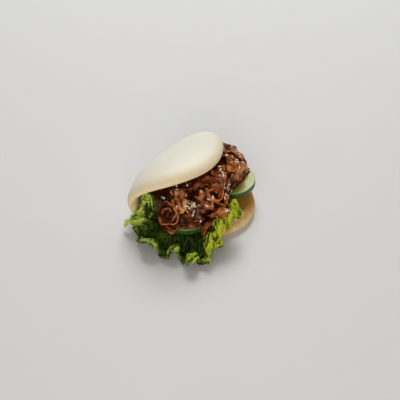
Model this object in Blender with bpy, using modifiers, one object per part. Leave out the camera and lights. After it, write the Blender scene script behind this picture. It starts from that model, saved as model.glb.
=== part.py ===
"""Beef gua bao: a steamed bun folded over lettuce, cucumber slices and a heap of crinkled beef.

Metres, +Z up. The bun's fold runs along X at the back, its mouth opens toward -Y, and the lip
lies flat on the table at z = 0. Shapes are worked out in the fold's own frame, whose origin is
on the table under the middle of the fold, and are placed by FOLD_X and FOLD_Y in the end.
"""
import math

import bmesh
import bpy
import numpy as np
from mathutils import Matrix, Vector
from mathutils.bvhtree import BVHTree

MM = 0.001

# ---- Driving dimensions ----
FOLD_X = 11.15 * MM             # the fold's middle, from the middle of the whole footprint
FOLD_Y = 45.95 * MM
GAP = 0.4 * MM                  # clearance between foods that lie on each other
BELOW_TABLE = -5 * MM           # how low the shapes reach that cut the heap to its neighbours
WELD = 1e-6                     # points closer than this are one

# Bun: one oval of dough, bent over along the fold
BUN_GRID = (10, 16)             # cage faces along the fold and across it
BUN_CROWDING = 1.35             # how much closer its rows are at the fold
DOUGH = 9 * MM                  # thickness of the dough
ROUNDING = 0.8 * MM             # how far its rounded surface stands off the flat-sided one
HALF_FOLD = 53.5 * MM           # half the fold's length
LIP_REACH = 90 * MM             # dough from the fold to the lower lip's tip
ROOF_REACH = 89 * MM            # dough from the fold to the upper lip's tip
FOLD_RADIUS = 15.2 * MM         # bend of the fold in the middle
FOLD_RADIUS_END = 6.6 * MM      # and at its two ends
FOLD_TURN = math.radians(115)   # how far the fold bends before the roof starts
FOLD_BELOW = 0.47               # share of the bend that lies before the fold line
ROOF_RADIUS = 53 * MM           # gentle arch of the roof
ROOF_DROOP = math.radians(10.5)  # the upper lip points this far below level
ROOF_SHEAR = -0.17              # the roof leans to the left as it rises
ROOF_YAW = math.radians(-5)
LEFT_BOW = 12 * MM              # the fold's left end comes forward
RIGHT_BOW = 3.5 * MM            # and the tip of its right end a little
LEFT_LIFT = 4 * MM

# Lettuce: one frilly leaf over the lower lip, spilling out at the front left
LEAF_GRID = (84, 5)             # faces round the leaf and from its middle to the margin
LEAF = 1.2 * MM                 # thickness of the leaf
LEAF_X, LEAF_Y = -23 * MM, -46 * MM
LEAF_REACH = 38 * MM            # from the middle to the margin
LEAF_LOBES = (                  # bearing, height, spread
    (158, 16 * MM, 16), (187, 12 * MM, 21), (232, 19 * MM, 21), (290, 7 * MM, 18), (95, -20 * MM, 40),
)
LEAF_SWIRL = math.radians(16)   # the left lobe curls back round the fold's end
LEAF_HUMPS = (                  # x, y, height, spread of the places where it stands up
    (-53 * MM, -27 * MM, 17 * MM, 10 * MM), (-60 * MM, -14 * MM, 6 * MM, 9 * MM),
    (-20 * MM, -89 * MM, 7 * MM, 13 * MM), (-2 * MM, -81 * MM, 6 * MM, 9 * MM),
)
RUFFLE = 9 * MM                 # height of the ruffled margin
RUFFLES = 17                    # ruffles all the way round

# Cucumber slices: (name, x, y, underside, radius, thickness)
SKIN_BEVEL = 0.5 * MM           # the cut edges of the skin are a little rounded
SLICE_SIDES = 32
CUCUMBERS = (
    ("cucumber_slice_right", 20 * MM, -59.5 * MM, 17.3 * MM, 20 * MM, 5.5 * MM),
    ("cucumber_slice_middle", 5.5 * MM, -54 * MM, 11.2 * MM, 18 * MM, 5.5 * MM),
    ("cucumber_slice_front", -33 * MM, -53 * MM, 11.2 * MM, 19.5 * MM, 6 * MM),
)

# Beef heap: a mound with crinkled slices and rolls on it
MOUND = Vector((-6.5 * MM, -44 * MM, 20 * MM))
MOUND_SIZE = Vector((49.5 * MM, 35 * MM, 25 * MM))
MOUND_BACK = 0.28               # it is this much bigger inside the fold
MOUND_LIFT = 0.45               # and this much higher under the roof
MOUND_RISE = 0.10               # it is higher to the right
INNER = Vector((5 * MM, -26 * MM, 23 * MM))  # the part of the heap that fills the fold
INNER_SIZE = Vector((49 * MM, 24 * MM, 26 * MM))
INNER_BACK = 0.12
BEEF = 2.6 * MM                 # thickness of a slice
STRIP_GRID, ROLL_GRID = (8, 2), (14, 2)
STRIP_SWING = math.radians(48)  # how far a slice's path turns to and fro
STRIP_WAVES = 2.6               # and how often along the slice
STRIP_CUP = -1.5 * MM           # its edges hang this much lower than its middle
PATH_STEPS = 200
ROLL_HOLE = 2.6 * MM            # radius of the hole in a roll
ROLL_PITCH = 4.2 * MM           # how much its radius grows with each turn
ROLL_WAVE = 0.9 * MM
FLAT = math.radians(2)          # faces that differ by less are one face

# Sesame seeds: they fall from above the mouth on a box round the mound's front
SEED = Vector((1.6 * MM, 0.95 * MM, 0.6 * MM))  # half its length, width and height
SEED_COUNT = 38
SEED_LOW, SEED_HIGH = (-46 * MM, -34 * MM, -4 * MM), (42 * MM, -8 * MM, 18 * MM)
SEED_FALL = Vector((0.40, 0.52, -0.9)).normalized()
SEED_START = 120 * MM           # how far above the mound they start
SEED_SPACING = 3.4 * MM         # least distance between two seeds
SEED_CLEARANCE = 2.5 * MM       # least distance from the bun, the leaf and the cucumber
SEED_STAND = 0.15 * MM          # a seed's middle lies this far above the beef
SEED_SLOPE = -0.35              # they stick only where the beef faces their fall

# Strips: where on the mound (azimuth, height angle), length, width, curl, heading, all by eye
STRIPS = (
    (-161, 48, 24, 17, 40, 10), (-34, 36, 30, 18, 70, 60), (-50, 34, 24, 14, 60, 20),
    (-50, 53, 28, 17, 80, 100), (-86, 40, 26, 16, 90, 150), (165, 35, 28, 16, 60, 70),
    (-138, 27, 28, 15, 80, 30), (-124, 10, 24, 14, 60, 90), (-160, -2, 28, 13, 50, 0),
    (-140, 8, 26, 14, 90, 160), (-130, 62, 30, 17, 50, 40), (-92, 60, 28, 16, 70, 120),
    (-92, 18, 20, 12, 60, 80), (-15, 28, 26, 16, 80, 140), (-20, 60, 26, 16, 50, 10),
    (-104, 26, 22, 14, 100, 80), (-148, 38, 22, 13, 90, 120), (-70, 34, 20, 12, 100, 0),
    (172, 20, 24, 15, 60, 30), (-129, -10, 24, 8, 20, 80),
)
# Rolls: azimuth, height angle, turns, width
ROLLS = ((-171, 17, 1.6, 12), (-113, 45, 1.3, 11), (-106, 12, 1.2, 9))


# ---- Helpers ----
def smooth(t):
    """0 below 0, 1 above 1, and an even ease between."""
    t = np.clip(t, 0, 1)
    return t * t * (3 - 2 * t)


def principled(name, colour, roughness):
    material = bpy.data.materials.new(name)
    material.use_nodes = True
    shader = material.node_tree.nodes["Principled BSDF"]
    shader.inputs["Base Color"].default_value = (*colour, 1)
    shader.inputs["Roughness"].default_value = roughness
    shader.inputs["Metallic"].default_value = 0
    return material


def new_object(name, mesh, collection, material=None):
    thing = bpy.data.objects.new(name, mesh)
    collection.objects.link(thing)
    if material:
        mesh.materials.append(material)
    return thing


def to_mesh(bm, name):
    mesh = bpy.data.meshes.new(name)
    bm.to_mesh(mesh)
    bm.free()
    return mesh


def sheet(name, grid, place, split=False):
    """A grid over -1 to 1 both ways, each point carried to place(a, b); what meets is welded."""
    bm = bmesh.new()
    bmesh.ops.create_grid(bm, x_segments=grid[0], y_segments=grid[1], size=1)
    flat = np.array([vert.co[:2] for vert in bm.verts])
    for vert, point in zip(bm.verts, place(flat[:, 0], flat[:, 1])):
        vert.co = point
    bmesh.ops.remove_doubles(bm, verts=bm.verts, dist=WELD)
    if split:
        bmesh.ops.triangulate(bm, faces=bm.faces, quad_method="FIXED")
    return to_mesh(bm, name)


def solidify(thing, thickness):
    wall = thing.modifiers.new("Solidify", "SOLIDIFY")
    wall.thickness = thickness
    wall.offset = 0


def subdivide(thing, levels):
    soft = thing.modifiers.new("Subdivision", "SUBSURF")
    soft.levels = levels
    soft.render_levels = levels


def evaluated(thing):
    """The object's mesh with its modifiers applied."""
    graph = bpy.context.evaluated_depsgraph_get()
    return bpy.data.meshes.new_from_object(thing.evaluated_get(graph))


def surface(things):
    """One search tree over the finished surfaces of some objects."""
    points, faces = [], []
    for thing in things:
        mesh = evaluated(thing)
        start = len(points)
        points += [thing.matrix_world @ vert.co for vert in mesh.vertices]
        faces += [[start + index for index in face.vertices] for face in mesh.polygons]
        bpy.data.meshes.remove(mesh)
    return BVHTree.FromPolygons(points, faces)


# ---- Bun ----
def bend(u):
    """Radius of the fold and of the roof's arch at u, -1 to 1 along the fold."""
    fullness = np.clip(1 - u * u, 0, 1) ** 0.45
    fold = FOLD_RADIUS_END + (FOLD_RADIUS - FOLD_RADIUS_END) * fullness
    return fold, ROOF_RADIUS * (0.35 + 0.65 * fullness)


def bow(u):
    """How far forward of its middle the fold lies at u."""
    return LEFT_BOW * smooth(-u) * np.abs(u) + RIGHT_BOW * smooth(u) ** 2 * u ** 2


def dough(u, v):
    """Middle of the dough: flat lip, then the fold's arc, then the roof's wider arc, then straight.

    u runs along the fold and v across it, from the lower lip's tip at -1 to the upper one's at 1.
    """
    fold, roof = bend(u)
    before = FOLD_BELOW * fold * FOLD_TURN
    along = v * np.where(v < 0, LIP_REACH, ROOF_REACH) + before
    on_fold = np.clip(along, 0, fold * FOLD_TURN)
    on_roof = np.clip(along - fold * FOLD_TURN, 0, roof * (math.pi + ROOF_DROOP - FOLD_TURN))
    beyond = np.maximum(along - fold * FOLD_TURN - on_roof, 0)
    end = FOLD_TURN + on_roof / roof
    y = np.minimum(along, 0) + fold * np.sin(on_fold / fold)
    z = fold * (1 - np.cos(on_fold / fold))
    y = y + roof * (np.sin(end) - math.sin(FOLD_TURN)) + beyond * np.cos(end) - fold - bow(u)
    z = z + roof * (math.cos(FOLD_TURN) - np.cos(end)) + beyond * np.sin(end) + DOUGH / 2
    z = z + LEFT_LIFT * smooth(-u) * smooth((z - DOUGH / 2) / (20 * MM))
    x = u * HALF_FOLD + ROOF_SHEAR * (z - DOUGH / 2)
    turn = ROOF_YAW * smooth(along / ROOF_REACH)
    return np.stack([x * np.cos(turn) - y * np.sin(turn), x * np.sin(turn) + y * np.cos(turn), z], -1)


def bun_sheet(a, b):
    """The square -1 to 1 pressed into the dough's oval, with closer rows at the fold."""
    b = np.sign(b) * np.abs(b) ** BUN_CROWDING
    return dough(a * np.sqrt(1 - b * b / 2), b * np.sqrt(1 - a * a / 2))


def make_bun(name, thickness, collection, material=None, levels=1):
    bun = new_object(name, sheet(name, BUN_GRID, bun_sheet), collection, material)
    solidify(bun, thickness)
    subdivide(bun, levels)
    return bun


# ---- Lettuce ----
def past_lip(x, y):
    """1 on the lower lip's rim, less inside it and more outside."""
    u = x / HALF_FOLD
    fold, _ = bend(u)
    v = (y + fold * (1 - FOLD_BELOW * FOLD_TURN) + bow(u)) / LIP_REACH
    return np.sqrt(u * u + v * v)


def leaf_reach(direction):
    """Distance from the leaf's middle to its margin: a circle with lobes and one dent."""
    reach = np.full_like(direction, LEAF_REACH)
    for middle, height, spread in LEAF_LOBES:
        away = (np.degrees(direction) - middle + 180) % 360 - 180
        reach = reach + height * np.exp(-(away / spread) ** 2)
    return reach


def under_cucumber(x, y):
    """0 under a cucumber slice and within 5 mm of it, 1 from 11 mm away."""
    free = np.ones_like(x)
    for _, slice_x, slice_y, _, radius, _ in CUCUMBERS:
        away = np.hypot(x - slice_x, y - slice_y) - radius
        free = free * smooth((away - 5 * MM) / (6 * MM))
    return free


def leaf_sheet(a, b, spare=0):
    """Polar leaf: flat on the lip, down to the table past its rim, with a ruffled margin.

    spare widens it all round, for the room that the beef leaves it.
    """
    direction = math.pi * (a + 1)
    out = np.sqrt((b + 1) / 2)
    edge = smooth((out - 0.62) / 0.38)
    bearing = np.degrees(direction)
    swirl = LEAF_SWIRL * edge * np.exp(-((bearing - 162) / 25) ** 2)
    wave = RUFFLES * direction + 1.2 * np.sin(3 * direction)
    shown = smooth((bearing - 150) / 25) * smooth((330 - bearing) / 25)
    angle = direction - swirl + 0.05 * edge * shown * np.cos(wave)
    reach = leaf_reach(direction) * out * (1 + 0.03 * edge * shown * np.sin(2 * wave)) + spare * edge
    x = LEAF_X + reach * np.cos(angle)
    y = LEAF_Y + reach * np.sin(angle)
    drop = smooth((past_lip(x, y) - 1.07) / 0.2)
    on_lip = DOUGH + GAP + LEAF / 2
    z = on_lip + (LEAF - on_lip) * drop
    hump = sum(height * np.exp(-((x - hump_x) ** 2 + (y - hump_y) ** 2) / spread ** 2)
               for hump_x, hump_y, height, spread in LEAF_HUMPS)
    ruffle = RUFFLE * edge * shown * (0.5 + 0.5 * np.sin(wave))
    return np.stack([x, y, z + (ruffle + hump) * under_cucumber(x, y)], -1)


def make_leaf(collection, material):
    leaf = new_object("lettuce_leaf", sheet("lettuce_leaf", LEAF_GRID, leaf_sheet, True), collection, material)
    solidify(leaf, LEAF)
    return leaf


def make_leaf_cutter(collection):
    """All the room from just over the leaf down to below the table."""
    mesh = sheet("leaf_room", LEAF_GRID, lambda a, b: leaf_sheet(a, b, 2 * GAP), True)
    bm = bmesh.new()
    bm.from_mesh(mesh)
    bmesh.ops.recalc_face_normals(bm, faces=bm.faces)
    top = list(bm.faces)
    if sum(face.normal.z for face in top) < 0:
        bmesh.ops.reverse_faces(bm, faces=top)
    below = bmesh.ops.extrude_face_region(bm, geom=top)["geom"]
    raised = {vert for vert in below if isinstance(vert, bmesh.types.BMVert)}
    for vert in bm.verts:
        if vert in raised:
            vert.co.z += LEAF / 2 + 4 * GAP
        else:
            vert.co.z = BELOW_TABLE
    bmesh.ops.recalc_face_normals(bm, faces=bm.faces)
    bm.to_mesh(mesh)
    bm.free()
    return new_object("leaf_room", mesh, collection)


# ---- Cucumber ----
def make_disc(name, x, y, bottom, top, radius, collection, material=None):
    bm = bmesh.new()
    bmesh.ops.create_cone(bm, cap_ends=True, segments=SLICE_SIDES, radius1=radius, radius2=radius,
                          depth=top - bottom)
    disc = new_object(name, to_mesh(bm, name), collection, material)
    disc.location = (x, y, (top + bottom) / 2)
    return disc


def make_cucumber(name, x, y, underside, radius, thickness, collection, material):
    disc = make_disc(name, x, y, underside, underside + thickness, radius, collection, material)
    rounding = disc.modifiers.new("Bevel", "BEVEL")
    rounding.width = SKIN_BEVEL
    rounding.segments = 1
    return disc


# ---- Beef ----
def lifted(unit, lift):
    """How many times higher a lump is in that direction: more under the roof, not in front of it."""
    return 1 + lift * float(smooth((unit.y + 0.6) / 0.6)) * float(smooth(unit.z / 0.5))


def mound_frame(azimuth, height):
    """Place on the mound and its outward direction, by two angles in degrees."""
    azimuth, height = math.radians(azimuth), math.radians(height)
    level = math.cos(height)
    unit = Vector((level * math.cos(azimuth), level * math.sin(azimuth), math.sin(height)))
    spot = Vector(unit[i] * MOUND_SIZE[i] for i in range(3))
    spot.z = spot.z * lifted(unit, MOUND_LIFT) + MOUND_RISE * spot.x
    normal = Vector(unit[i] / MOUND_SIZE[i] for i in range(3)).normalized()
    return MOUND + spot, normal


def stand_on(spot, normal, heading):
    """Matrix that carries X along the surface, turned by heading, and Z along its normal."""
    side = normal.cross(Vector((0, 0, 1))).normalized()
    turned = Matrix.Rotation(math.radians(heading), 3, normal) @ side
    across = normal.cross(turned)
    return Matrix.Translation(spot) @ Matrix((turned, across, normal)).transposed().to_4x4()


def strip_sheet(length, width, curl, phase):
    """A crinkled slice: a path whose heading swings to and fro and curls, carried sideways."""
    steps = np.linspace(0, 1, PATH_STEPS)
    swing = STRIP_SWING * np.sin(2 * np.pi * STRIP_WAVES * steps + phase)
    heading = np.radians(curl) * (0.5 - steps) + swing
    path_x = np.cumsum(np.cos(heading)) * length / PATH_STEPS
    path_z = np.cumsum(np.sin(heading)) * length / PATH_STEPS
    path_x, path_z = path_x - path_x.mean(), path_z - path_z.mean()

    def place(a, b):
        t = (a + 1) / 2
        lean = 0.12 * np.sin(5 * t + phase)
        half = width / 2 * (0.62 + 0.38 * np.sin(np.pi * np.clip(t, 0.04, 0.96)))
        x = np.interp(t, steps, path_x) + lean * half * b
        z = np.interp(t, steps, path_z) + STRIP_CUP * b * b
        return np.stack([x, half * b, z], -1)
    return place


def roll_sheet(turns, width):
    """A rolled slice: a spiral carried along its axis, a little wider at the outer end."""
    def place(a, b):
        angle = 2 * np.pi * turns * (a + 1) / 2
        radius = ROLL_HOLE + ROLL_PITCH * angle / (2 * np.pi)
        radius = radius * (1 + 0.12 * (b + 1))
        height = width / 2 * b + ROLL_WAVE * np.sin(3 * angle)
        return np.stack([radius * np.cos(angle), radius * np.sin(angle), height], -1)
    return place


def make_lump(name, middle, size, back, lift, collection, material=None):
    """Rough ellipsoid, bigger to the back and higher there."""
    bm = bmesh.new()
    bmesh.ops.create_icosphere(bm, subdivisions=2, radius=1)
    for vert in bm.verts:
        unit = vert.co.copy()
        lump = 0.9 + 0.04 * math.sin(7 * unit.x + 3 * unit.y) * math.cos(6 * unit.z - 2 * unit.y)
        lump += back * max(unit.y, 0)
        for i in range(3):
            vert.co[i] = unit[i] * size[i] * lump
        vert.co.z = vert.co.z * lifted(unit, lift) + MOUND_RISE * vert.co.x
        vert.co += middle
    return new_object(name, to_mesh(bm, name), collection, material)


def make_slices(collection):
    for number, (azimuth, height, length, width, curl, heading) in enumerate(STRIPS):
        place = strip_sheet(length * MM, width * MM, curl, number)
        strip = new_object(f"strip_{number}", sheet("strip", STRIP_GRID, place), collection)
        spot, normal = mound_frame(azimuth, height)
        strip.matrix_world = stand_on(spot, normal, heading)
        solidify(strip, BEEF)
    for number, (azimuth, height, turns, width) in enumerate(ROLLS):
        place = roll_sheet(turns, width * MM)
        roll = new_object(f"roll_{number}", sheet("roll", ROLL_GRID, place), collection)
        spot, normal = mound_frame(azimuth, height)
        roll.matrix_world = stand_on(spot, normal, 0)
        solidify(roll, BEEF)


def combine(thing, operation, collection):
    """Union with, or cut by, everything in a collection, applied; the collection is emptied."""
    joint = thing.modifiers.new("Boolean", "BOOLEAN")
    joint.operation = operation
    joint.operand_type = "COLLECTION"
    joint.collection = collection
    joint.solver = "MANIFOLD"    # the exact solver leaves open edges where thin slices cross
    mesh = evaluated(thing)
    thing.modifiers.remove(joint)
    thing.data = mesh
    for piece in list(collection.objects):
        bpy.data.objects.remove(piece)


def keep_largest(thing):
    """Drop loose scraps and sealed hollows: only the shell with the most faces stays."""
    bm = bmesh.new()
    bm.from_mesh(thing.data)
    bm.faces.ensure_lookup_table()
    shells, seen = [], set()
    for face in bm.faces:
        if face.index in seen:
            continue
        shell, front = [], [face]
        seen.add(face.index)
        while front:
            here = front.pop()
            shell.append(here)
            for edge in here.edges:
                for other in edge.link_faces:
                    if other.index not in seen:
                        seen.add(other.index)
                        front.append(other)
        shells.append(shell)
    shells.sort(key=len)
    for shell in shells[:-1]:
        bmesh.ops.delete(bm, geom=shell, context="FACES")
    bmesh.ops.dissolve_limit(bm, angle_limit=FLAT, verts=bm.verts, edges=bm.edges)
    bmesh.ops.triangulate(bm, faces=bm.faces)
    bm.to_mesh(thing.data)
    bm.free()


def make_seeds(beef, neighbours, collection):
    """Seeds that fell on the heap from above the mouth, each half sunk where it landed."""
    ground, others = surface([beef]), surface(neighbours)
    rng = np.random.default_rng(7)
    placed = []
    while len(placed) < SEED_COUNT:
        start = MOUND + Vector(rng.uniform(SEED_LOW, SEED_HIGH)) - SEED_FALL * SEED_START
        spot, normal, _, _ = ground.ray_cast(start, SEED_FALL)
        twist = rng.uniform(0, 180)
        if spot is None or others.ray_cast(start, SEED_FALL, (spot - start).length)[0]:
            continue
        near = others.find_nearest(spot)[3]
        crowded = any((spot - other).length < SEED_SPACING for other in placed)
        if near < SEED_CLEARANCE or crowded or normal.dot(SEED_FALL) > SEED_SLOPE:
            continue
        bm = bmesh.new()
        bmesh.ops.create_uvsphere(bm, u_segments=5, v_segments=4, radius=1)
        bmesh.ops.scale(bm, vec=SEED, verts=bm.verts)
        seed = new_object(f"seed_{len(placed)}", to_mesh(bm, "seed"), collection)
        seed.matrix_world = stand_on(spot + normal * SEED_STAND, normal, twist)
        placed.append(spot)


def make_beef(bun, leaf, cucumbers, model, pieces, cutters, material):
    beef = make_lump("beef_filling", MOUND, MOUND_SIZE, MOUND_BACK, MOUND_LIFT, model, material)
    make_lump("inner_beef", INNER, INNER_SIZE, INNER_BACK, 0, pieces)
    make_slices(pieces)
    combine(beef, "UNION", pieces)
    make_bun("bun_room", DOUGH + 2 * (GAP + ROUNDING), cutters, levels=0)
    make_leaf_cutter(cutters)
    lowest = min(underside for _, _, _, underside, _, _ in CUCUMBERS)
    for name, x, y, underside, radius, thickness in CUCUMBERS:
        floor = BELOW_TABLE if underside == lowest else underside - GAP
        make_disc(name + "_room", x, y, floor, underside + thickness + GAP, radius + GAP, cutters)
    combine(beef, "DIFFERENCE", cutters)
    keep_largest(beef)
    make_seeds(beef, [bun, leaf] + cucumbers, pieces)
    combine(beef, "UNION", pieces)
    keep_largest(beef)
    return beef


# ---- The whole ----
def build():
    for thing in list(bpy.data.objects):
        bpy.data.objects.remove(thing)
    model = bpy.data.collections.new("beef_gua_bao")
    pieces = bpy.data.collections.new("beef_pieces")
    cutters = bpy.data.collections.new("cutters")
    for collection in (model, pieces, cutters):
        bpy.context.scene.collection.children.link(collection)
    bun = make_bun("bao_bun", DOUGH, model, principled("steamed_dough", (0.78, 0.72, 0.58), 0.55))
    leaf = make_leaf(model, principled("lettuce", (0.16, 0.24, 0.02), 0.4))
    green = principled("cucumber", (0.45, 0.55, 0.22), 0.3)
    cucumbers = [make_cucumber(*size, model, green) for size in CUCUMBERS]
    beef = make_beef(bun, leaf, cucumbers, model, pieces, cutters, principled("beef", (0.2, 0.07, 0.03), 0.35))
    for thing in [bun, leaf, beef] + cucumbers:
        thing.location += Vector((FOLD_X, FOLD_Y, 0))


build()
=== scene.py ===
import math

import bmesh
import bpy
import numpy as np
from mathutils import Matrix, Vector
from mathutils.bvhtree import BVHTree


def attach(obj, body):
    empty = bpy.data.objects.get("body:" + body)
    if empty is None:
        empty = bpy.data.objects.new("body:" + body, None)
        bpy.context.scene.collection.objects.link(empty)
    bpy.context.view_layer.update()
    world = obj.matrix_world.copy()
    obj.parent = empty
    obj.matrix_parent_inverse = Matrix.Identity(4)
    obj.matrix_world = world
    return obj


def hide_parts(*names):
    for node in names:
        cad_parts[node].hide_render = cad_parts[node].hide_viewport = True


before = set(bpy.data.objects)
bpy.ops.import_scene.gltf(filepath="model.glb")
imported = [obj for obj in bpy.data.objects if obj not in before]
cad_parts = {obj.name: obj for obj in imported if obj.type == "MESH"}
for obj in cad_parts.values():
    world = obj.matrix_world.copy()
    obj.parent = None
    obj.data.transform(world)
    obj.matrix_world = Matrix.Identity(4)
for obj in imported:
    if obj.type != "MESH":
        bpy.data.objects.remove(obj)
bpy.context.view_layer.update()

MM = 0.001                      # Blender works in metres

# ---- Steamed bun ----
# One oval of white yeast dough, folded over once and steamed. Its skin is smooth and satin, its
# rim round and puffy, and the lower lip is stained where sauce ran out of the filling. Painted
# shade widens that stain, and painted warm shade turns the rim, the inside and low parts cream.
FOLD = np.array([11.15 * MM, 45.95 * MM, 0])    # on the table, under the middle of the fold
DOUGH = 9 * MM
HALF_FOLD = 53.5 * MM
LIP_REACH, ROOF_REACH = 90 * MM, 89 * MM
FOLD_RADIUS, FOLD_RADIUS_END = 15.2 * MM, 6.6 * MM
FOLD_TURN = math.radians(115)
FOLD_BELOW = 0.47               # how far along the fold's arc v = 0 lies, as a share of it
ROOF_RADIUS = 53 * MM
ROOF_DROOP = math.radians(10.5)
ROOF_SHEAR = -0.17
ROOF_YAW = math.radians(-5)
LEFT_BOW, RIGHT_BOW, LEFT_LIFT = 12 * MM, 3.5 * MM, 4 * MM     # the fold's ends, forward and up
RIM = 7.5 * MM                  # how far in from its rim the dough starts to thin
SEAT = 1.2 * MM                 # lower than this, the outer skin is pressed flat on the table
STAIN_AND_SHADE_SOFTNESS, STAIN_AND_SHADE_SPREAD = 0.3, 0.57        # how softly the sauce stain with its painted shade ends, and how far past the filling
MERGED = 1e-6                   # points nearer to each other than this are one
BUN_WHITE = (0.86, 0.84, 0.73, 1)
# Cream of the painted warm shade on the bun's rim, inside and low parts.
BUN_WARM_SHADE = (0.86, 0.68, 0.38, 1)
# Sauce stain on the lip, also painted as shade over the lip's shaded parts by the filling and the leaf.
SAUCE_STAIN_AND_SHADE = (0.56, 0.28, 0.055, 1)


def smooth(t):
    """0 below 0, 1 above 1, and an even ease between."""
    t = np.clip(t, 0, 1)
    return t * t * (3 - 2 * t)


def bend(u):
    """Radius of the fold and of the roof's arch at u, -1 to 1 along the fold."""
    fullness = np.clip(1 - u * u, 0, 1) ** 0.45
    fold = FOLD_RADIUS_END + (FOLD_RADIUS - FOLD_RADIUS_END) * fullness
    return fold, ROOF_RADIUS * (0.35 + 0.65 * fullness)


def bow(u):
    """How far forward of its middle the fold lies at u."""
    return LEFT_BOW * smooth(-u) * np.abs(u) + RIGHT_BOW * smooth(u) ** 2 * u ** 2


def dough(u, v):
    """Middle of the dough: flat lip, then the fold's arc, then the roof's wider arc, then straight.

    u runs along the fold and v across it, from the lower lip's tip at -1 to the upper one's at 1.
    """
    fold, roof = bend(u)
    before = FOLD_BELOW * fold * FOLD_TURN
    along = v * np.where(v < 0, LIP_REACH, ROOF_REACH) + before
    on_fold = np.clip(along, 0, fold * FOLD_TURN)
    on_roof = np.clip(along - fold * FOLD_TURN, 0, roof * (math.pi + ROOF_DROOP - FOLD_TURN))
    beyond = np.maximum(along - fold * FOLD_TURN - on_roof, 0)
    end = FOLD_TURN + on_roof / roof
    y = np.minimum(along, 0) + fold * np.sin(on_fold / fold)
    z = fold * (1 - np.cos(on_fold / fold))
    y = y + roof * (np.sin(end) - math.sin(FOLD_TURN)) + beyond * np.cos(end) - fold - bow(u)
    z = z + roof * (math.cos(FOLD_TURN) - np.cos(end)) + beyond * np.sin(end) + DOUGH / 2
    z = z + LEFT_LIFT * smooth(-u) * smooth((z - DOUGH / 2) / (20 * MM))
    x = u * HALF_FOLD + ROOF_SHEAR * (z - DOUGH / 2)
    turn = ROOF_YAW * smooth(along / ROOF_REACH)
    return np.stack([x * np.cos(turn) - y * np.sin(turn), x * np.sin(turn) + y * np.cos(turn), z], -1)


def unit(vectors):
    """Each vector at length 1."""
    return vectors / np.maximum(np.linalg.norm(vectors, axis=-1, keepdims=True), 1e-12)


def dough_normal(u, v):
    """Normal of the dough's middle by differences, pointing to the filling."""
    step = 0.006
    along = dough(u + step, v) - dough(u - step, v)
    across = dough(u, v + step) - dough(u, v - step)
    return unit(np.cross(along, across))


def ring_faces(rows, columns, copies=1):
    """Quads of grids of rows x columns points, each grid closed round its columns."""
    row, column = np.meshgrid(np.arange(rows - 1), np.arange(columns), indexing="ij")
    start, after = row * columns, (column + 1) % columns
    quads = np.stack([start + column, start + after, start + columns + after, start + columns + column], -1)
    return (quads.reshape(1, -1, 4) + np.arange(copies).reshape(-1, 1, 1) * rows * columns).reshape(-1, 4)


def volume(points, faces):
    """Signed volume inside the faces: positive if they point out."""
    a, b, c, d = (points[faces[:, i]] for i in range(4))
    return np.sum(np.cross(a, b) * c + np.cross(a, c) * d) / 6


def new_piece(name, points, faces, material, slot, *nodes, **marks):
    """A piece from points in the fold's frame: doubles merged, smooth, on the root body."""
    points = points.reshape(-1, 3) + FOLD
    if volume(points, faces) < 0:
        faces = faces[:, ::-1]
    mesh = bpy.data.meshes.new(name)
    mesh.from_pydata(points.tolist(), [], faces.tolist())
    for mark, values in marks.items():
        mesh.attributes.new(mark, "FLOAT", "POINT").data.foreach_set("value", np.ravel(values))
    bm = bmesh.new()
    bm.from_mesh(mesh)
    bmesh.ops.remove_doubles(bm, verts=bm.verts, dist=MERGED)
    bm.to_mesh(mesh)
    bm.free()
    mesh.shade_smooth()
    mesh.materials.append(material)
    piece = bpy.data.objects.new(name, mesh)
    bpy.context.scene.collection.objects.link(piece)
    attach(piece, "root")
    if nodes:
        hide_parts(*nodes)
    return piece


class Wire:
    """A node's output. Arithmetic on it adds Math nodes, and node() adds any other node."""

    def __init__(self, socket):
        self.socket = socket
        self.tree = socket.id_data

    def node(self, kind, output, inputs, **settings):
        """Adds a node, makes its settings, then fills its sockets with values or wires."""
        node = self.tree.nodes.new(kind)
        for name, value in settings.items():
            setattr(node, name, value)
        for name, value in inputs.items():
            if isinstance(value, Wire):
                self.tree.links.new(value.socket, node.inputs[name])
            else:
                node.inputs[name].default_value = value
        return Wire(node.outputs[output])

    def math(self, operation, a, b):
        """One Math node, of two values or wires."""
        return self.node("ShaderNodeMath", 0, {0: a, 1: b}, operation=operation)

    def __add__(self, other):
        return self.math("ADD", self, other)

    def __sub__(self, other):
        return self.math("SUBTRACT", self, other)

    def __rsub__(self, other):
        return self.math("SUBTRACT", other, self)

    def __mul__(self, other):
        return self.math("MULTIPLY", self, other)

    __radd__ = __add__
    __rmul__ = __mul__

    def mark(self, name):
        """A number kept on the mesh's points."""
        return self.node("ShaderNodeAttribute", "Fac", {}, attribute_name=name)

    def noise(self, scale, detail=3, rough=0.55, warp=0):
        """Cloudy noise between 0 and 1."""
        sizes = {"Vector": self, "Scale": scale, "Detail": detail, "Roughness": rough, "Distortion": warp}
        return self.node("ShaderNodeTexNoise", "Fac", sizes)

    def rise(self, low, high):
        """0 below low, 1 above high, eased between."""
        limits = {"Value": self, "From Min": low, "From Max": high}
        return self.node("ShaderNodeMapRange", 0, limits, interpolation_type="SMOOTHSTEP")

    def mix(self, a, b):
        """Colour a where this is 0, b where it is 1."""
        return self.node("ShaderNodeMix", 2, {0: self, 6: a, 7: b}, data_type="RGBA")

    def bump(self, strength, distance):
        """A normal from this height."""
        heights = {"Height": self, "Strength": strength, "Distance": distance}
        return self.node("ShaderNodeBump", "Normal", heights)


def finish_of(name, paint, **fixed):
    """A Principled material: fixed sockets, and those that paint(at) works out from the place."""
    material = bpy.data.materials.new(name)
    material.use_nodes = True
    tree = material.node_tree
    shader = tree.nodes["Principled BSDF"]
    for socket, value in fixed.items():
        shader.inputs[socket.replace("_", " ")].default_value = value
    at = Wire(tree.nodes.new("ShaderNodeTexCoord").outputs["Object"])
    for socket, wire in paint(at).items():
        tree.links.new(wire.socket, shader.inputs[socket.replace("_", " ")])
    return material


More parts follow.
